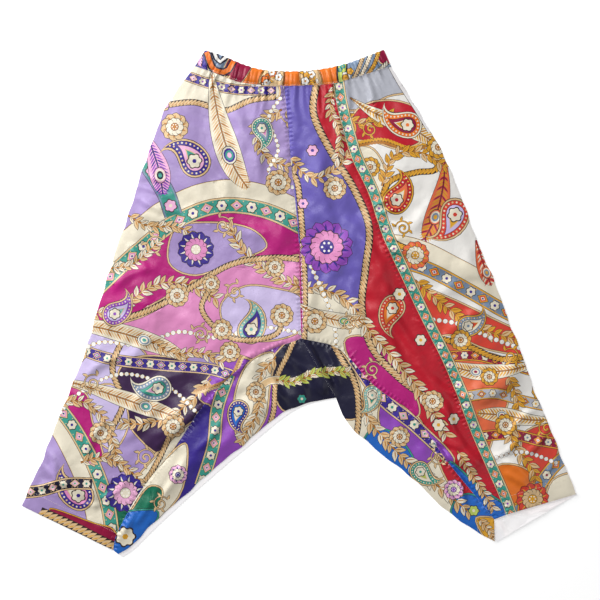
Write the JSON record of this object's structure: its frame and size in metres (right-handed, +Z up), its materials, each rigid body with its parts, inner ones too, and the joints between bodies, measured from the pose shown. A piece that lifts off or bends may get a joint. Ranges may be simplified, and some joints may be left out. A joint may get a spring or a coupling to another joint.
{
  "type": "harem pants",
  "caption": "Printed satin harem pants with a gathered elastic waist, a low crotch gusset and tapering cropped legs, laid flat with the front up.",
  "frame": {"origin": "under the middle of the garment's box, on the surface that it lies on", "axes": "+X across the garment towards the wearer's left leg, +Y from the hems towards the waist, +Z up, out of the garment's front"},
  "size_m": [0.944, 0.8619, 0.0101],
  "materials": {
    "printed_satin_right": "printed satin, lavender, pink, magenta and plum with cream and teal",
    "printed_satin_inner": "printed satin, periwinkle and crimson with gold cord",
    "printed_satin_outer": "printed satin, white, orange and vermilion with gold",
    "printed_satin_gusset": "printed satin, indigo, cobalt, navy and violet with cream",
    "printed_satin_waist": "gathered printed satin, orange with white, gold and magenta",
    "printed_satin_back": "printed satin outside, pale wrong side inside"
  },
  "bodies": {
    "root": {"front_right_leg": "printed_satin_right", "front_left_inner": "printed_satin_inner", "front_left_outer": "printed_satin_outer", "front_right_gusset": "printed_satin_gusset", "front_left_gusset": "printed_satin_gusset", "front_waistband": "printed_satin_waist", "back_right_leg": "printed_satin_back", "back_left_leg": "printed_satin_back", "back_right_gusset": "printed_satin_back", "back_left_gusset": "printed_satin_back", "back_waistband": "printed_satin_waist"}
  },
  "joints": []
}
